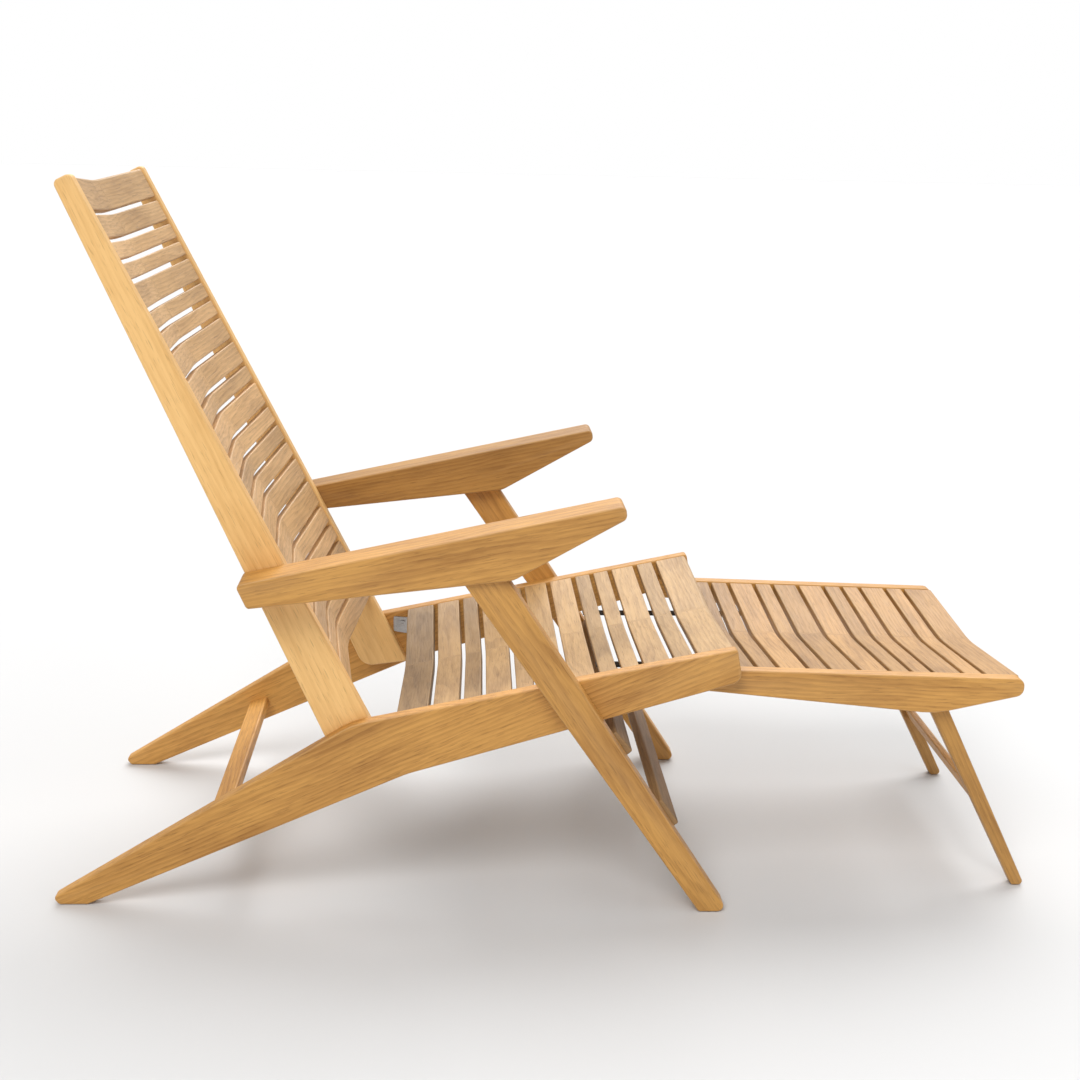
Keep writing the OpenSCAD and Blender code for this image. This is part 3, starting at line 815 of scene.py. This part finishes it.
class CHAIR_OT_stretchers(bpy.types.Operator):
    """Build the straight boards that tie the two sides together"""
    bl_idname = "chair.stretchers"
    bl_label = "Stretchers"

    def execute(self, context):
        e = context.scene.chair_sizes.stretcher_ease
        inner_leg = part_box("left_front_leg")[0].y
        rows = (("upper_front_stretcher", UPPER_STRETCHER_SLOPE, inner_leg),
                ("lower_front_stretcher", LOWER_STRETCHER_SLOPE, inner_leg),
                ("rear_stretcher", REAR_STRETCHER_SLOPE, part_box("left_seat_rail")[0].y),
                ("footrest_leg_stretcher", FOOT_STRETCHER_SLOPE,
                 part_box("left_footrest_leg")[0].y))
        for node, slope, half_span in rows:
            bar(node + "_board", node, node_points(node), slope, half_span, (e, e, e, e), 0, 0,
                finish_of(node))
        return {"FINISHED"}


class CHAIR_OT_hardware(bpy.types.Operator):
    """Give the bolts, screws, pins, brackets and runners their steel finishes"""
    bl_idname = "chair.hardware"
    bl_label = "Hardware"

    def execute(self, context):
        for node, obj in NODES.items():
            if SLOT_OF[node].endswith("steel"):
                obj.data.materials.clear()
                obj.data.materials.append(finish_of(node))
        return {"FINISHED"}


class CHAIR_OT_stage(bpy.types.Operator):
    """Set up the floor, the soft light and the camera"""
    bl_idname = "chair.stage"
    bl_label = "Stage"

    def execute(self, context):
        self.floor(context)
        self.light(context)
        self.camera(context)
        context.scene.view_settings.view_transform = "Standard"
        return {"FINISHED"}

    def floor(self, context):
        """A plain pale floor, just below the feet."""
        paint = context.scene.chair_stage.floor
        mesh = bpy.data.meshes.new("Floor")
        mesh.from_pydata([(x * FLOOR_HALF, y * FLOOR_HALF, 0)
                          for x, y in ((-1, -1), (1, -1), (1, 1), (-1, 1))], [], [(0, 1, 2, 3)])
        floor = bpy.data.objects.new("Floor", mesh)
        floor.location.z = -FLOOR_DROP
        material, tree, shader = new_material("Floor")
        place = add(tree, "ShaderNodeTexCoord", (-900, 0))
        soft = noise(tree, place.outputs["Object"], (-700, 0), 1.2, 3)
        paint = blend_colour(tree, soft, (*paint, 1), (*(c * 0.985 for c in paint), 1), (-400, 0))
        tree.links.new(paint, shader.inputs["Base Color"])
        shader.inputs["Roughness"].default_value = 0.9
        mesh.materials.append(material)
        context.scene.collection.objects.link(floor)

    def light(self, context):
        """Even light from all around, seen as a white wall, and three broad lamps."""
        stage = context.scene.chair_stage
        world = bpy.data.worlds.new("Studio")
        world.use_nodes = True
        tree = world.node_tree
        glow = tree.nodes["Background"]
        glow.inputs["Color"].default_value = (1, 1, 1, 1)
        glow.inputs["Strength"].default_value = stage.sky
        wall = add(tree, "ShaderNodeBackground", (-200, -200))
        wall.inputs["Color"].default_value = (1, 1, 1, 1)
        seen = add(tree, "ShaderNodeLightPath", (-200, 300))
        choose = add(tree, "ShaderNodeMixShader", (100, 0))
        tree.links.new(seen.outputs["Is Camera Ray"], choose.inputs[0])
        tree.links.new(glow.outputs[0], choose.inputs[1])
        tree.links.new(wall.outputs[0], choose.inputs[2])
        tree.links.new(choose.outputs[0], tree.nodes["World Output"].inputs["Surface"])
        context.scene.world = world
        # Each lamp's name, the place it shines from, its share of the key light and its spread
        # in degrees
        lamps = (("Key", (-1.3, -2.6, 3.2), 1.0, 32.0), ("Fill", (3.0, -2.0, 2.6), 0.30, 60.0),
                 ("Top", (0.5, 2.5, 3.0), 1.75, 55.0))
        for name, at, share, spread in lamps:
            lamp = bpy.data.lights.new(name, "SUN")
            lamp.angle = math.radians(spread)
            lamp.energy = stage.key * share
            obj = bpy.data.objects.new(name, lamp)
            obj.location = at
            obj.rotation_euler = (-Vector(at)).to_track_quat("-Z", "Y").to_euler()
            context.scene.collection.objects.link(obj)

    def camera(self, context):
        """The camera: it looks along (-sin yaw cos pitch, cos yaw cos pitch, -sin pitch), and its
        right and top are turned by the roll."""
        data = bpy.data.cameras.new("Camera")
        data.sensor_width = 36.0
        data.lens = CAMERA_LENS
        data.clip_end = 200
        yaw, pitch, roll = (math.radians(v) for v in CAMERA_TURN)
        ahead = Vector((-math.sin(yaw) * math.cos(pitch), math.cos(yaw) * math.cos(pitch),
                        -math.sin(pitch)))
        level = Vector((math.cos(yaw), math.sin(yaw), 0))
        upright = level.cross(ahead)
        right = math.cos(roll) * level + math.sin(roll) * upright
        top = -math.sin(roll) * level + math.cos(roll) * upright
        turn = Matrix((right, top, -ahead)).transposed().to_4x4()
        camera = bpy.data.objects.new("Camera", data)
        camera.matrix_world = Matrix.Translation(CAMERA_PLACE) @ turn
        context.scene.collection.objects.link(camera)
        bpy.context.scene.camera = camera


class CHAIR_PT_panel(bpy.types.Panel):
    """Buttons for the chair's pieces"""
    bl_idname = "CHAIR_PT_panel"
    bl_label = "Lounge Chair"
    bl_space_type = "VIEW_3D"
    bl_region_type = "UI"
    bl_category = "Lounge Chair"

    def draw(self, context):
        for key in GROUPS:
            group = getattr(context.scene, key)
            box = self.layout.box()
            for name in group.bl_rna.properties.keys():
                if name not in ("rna_type", "name"):
                    box.prop(group, name)
        for operator in OPERATORS:
            self.layout.operator(operator.bl_idname)


GROUPS = {"chair_sizes": ChairSizes, "chair_colours": ChairColours, "chair_stage": ChairStage}
OPERATORS = (CHAIR_OT_finishes, CHAIR_OT_boards, CHAIR_OT_slats, CHAIR_OT_stretchers,
             CHAIR_OT_hardware, CHAIR_OT_stage)
CLASSES = tuple(GROUPS.values()) + OPERATORS + (CHAIR_PT_panel,)


def register():
    """Register the classes and put the settings on the scene."""
    for item in CLASSES:
        bpy.utils.register_class(item)
    for key, group in GROUPS.items():
        setattr(bpy.types.Scene, key, bpy.props.PointerProperty(type=group))


def unregister():
    """Take the settings and the classes away again."""
    for key in GROUPS:
        delattr(bpy.types.Scene, key)
    for item in reversed(CLASSES):
        bpy.utils.unregister_class(item)


def main():
    """Build everything in order."""
    register()
    for operator in OPERATORS:
        getattr(bpy.ops.chair, operator.bl_idname.split(".")[1])()


if __name__ == "__main__":
    main()
